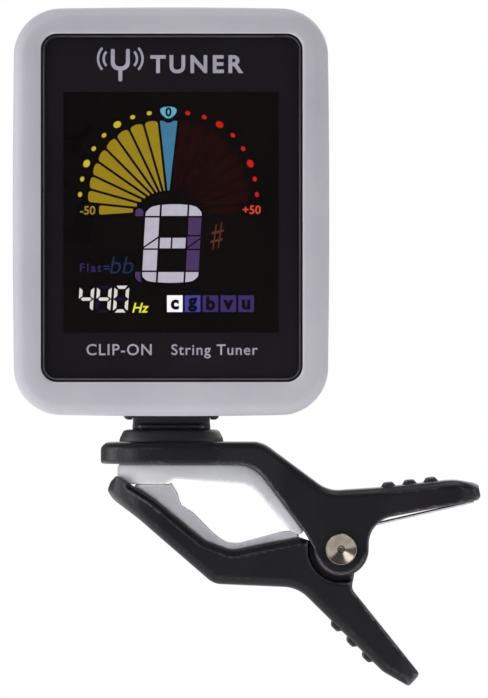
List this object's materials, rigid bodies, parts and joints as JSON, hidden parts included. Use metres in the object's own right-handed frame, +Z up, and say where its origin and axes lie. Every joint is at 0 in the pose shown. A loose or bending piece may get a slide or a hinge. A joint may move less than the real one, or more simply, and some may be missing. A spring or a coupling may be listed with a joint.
{
  "type": "clip-on tuner",
  "caption": "Clip-on instrument tuner: colour display head in a soft sleeve, tilting and swivelling above a sprung plastic clip with grip pads.",
  "frame": {"origin": "middle of the upper pad's flat grip face at the jaw tip, on the clip's centre plane", "axes": "+Z up along the head's height, +X to the right as the face is seen, the face looks towards -Y and the clip's pivot lies along Y"},
  "size_m": [0.0666, 0.0286, 0.0965],
  "materials": {
    "silicone": "soft translucent light grey, satin",
    "black_plastic": "moulded black plastic, fine texture",
    "gloss_black": "black printed layer behind a clear plate",
    "clear_lens": "clear polished plate",
    "display": "dark display glass",
    "diffuser": "white light guide",
    "conductive_rubber": "striped connector rubber",
    "circuit_board": "green solder mask",
    "chip_resin": "black moulded resin",
    "bright_steel": "bright plated steel",
    "cell_steel": "stainless steel can",
    "nickel": "nickel plate, polished",
    "brass": "bare brass"
  },
  "bodies": {
    "clip_body": {"upper_lever": "black_plastic", "upper_pad": "silicone", "pivot_rivet": "nickel", "rivet_washer": "bright_steel", "torsion_spring": "bright_steel", "swivel_collar": "black_plastic"},
    "lower_jaw": {"lower_lever": "black_plastic", "lower_pad": "silicone"},
    "neck": {"swivel_neck": "black_plastic", "tilt_pin": "bright_steel", "swivel_washer": "bright_steel", "swivel_screw": "bright_steel"},
    "head": {"bumper": "silicone", "face_lens": "clear_lens", "front_case": "black_plastic", "rear_cover": "black_plastic", "face_mask": "gloss_black", "lcd_glass": "display", "backlight": "diffuser", "lcd_holder": "black_plastic", "zebra_strip": "conductive_rubber", "pcb": "circuit_board", "mcu_chip": "chip_resin", "crystal_can": "bright_steel", "tact_switch_1": "bright_steel", "tact_switch_2": "bright_steel", "tact_switch_3": "bright_steel", "battery_contact_negative": "nickel", "battery_contact_positive": "nickel", "coin_cell": "cell_steel", "piezo_disc": "brass", "case_screw_1": "bright_steel", "case_screw_2": "bright_steel", "case_screw_3": "bright_steel", "case_screw_4": "bright_steel"},
    "door": {"battery_door": "black_plastic"},
    "power_button": {"button_power": "black_plastic"},
    "mode_button": {"button_mode": "black_plastic"},
    "pitch_button": {"button_pitch": "black_plastic"}
  },
  "joints": [
    {"name": "jaw_hinge", "type": "hinge", "parent": "clip_body", "child": "lower_jaw", "pos_m": [0.0278, 0, -0.00927], "axis": [0, -1, 0], "range_deg": [0, 38], "stiffness_Nm_per_rad": 0.15, "springref_deg": -51.57, "deforming": ["torsion_spring"]},
    {"name": "swivel", "type": "hinge", "parent": "clip_body", "child": "neck", "pos_m": [0.00356, 0, 0.006], "axis": [0, 0, 1], "continuous": true},
    {"name": "tilt", "type": "hinge", "parent": "neck", "child": "head", "pos_m": [0.00356, 0, 0.0132], "axis": [-1, 0, 0], "range_deg": [-15, 90]},
    {"name": "door_twist", "type": "hinge", "parent": "head", "child": "door", "pos_m": [0.00356, -0.0045, 0.037], "axis": [0, 1, 0], "range_deg": [0, 45]},
    {"name": "power_press", "type": "slide", "parent": "head", "child": "power_button", "axis": [0, -1, 0], "range_m": [0, 0.0005], "stiffness_N_per_m": 800, "springref_m": -0.0005},
    {"name": "mode_press", "type": "slide", "parent": "head", "child": "mode_button", "axis": [0, -1, 0], "range_m": [0, 0.0005], "stiffness_N_per_m": 800, "springref_m": -0.0005},
    {"name": "pitch_press", "type": "slide", "parent": "head", "child": "pitch_button", "axis": [0, -1, 0], "range_m": [0, 0.0005], "stiffness_N_per_m": 800, "springref_m": -0.0005}
  ]
}
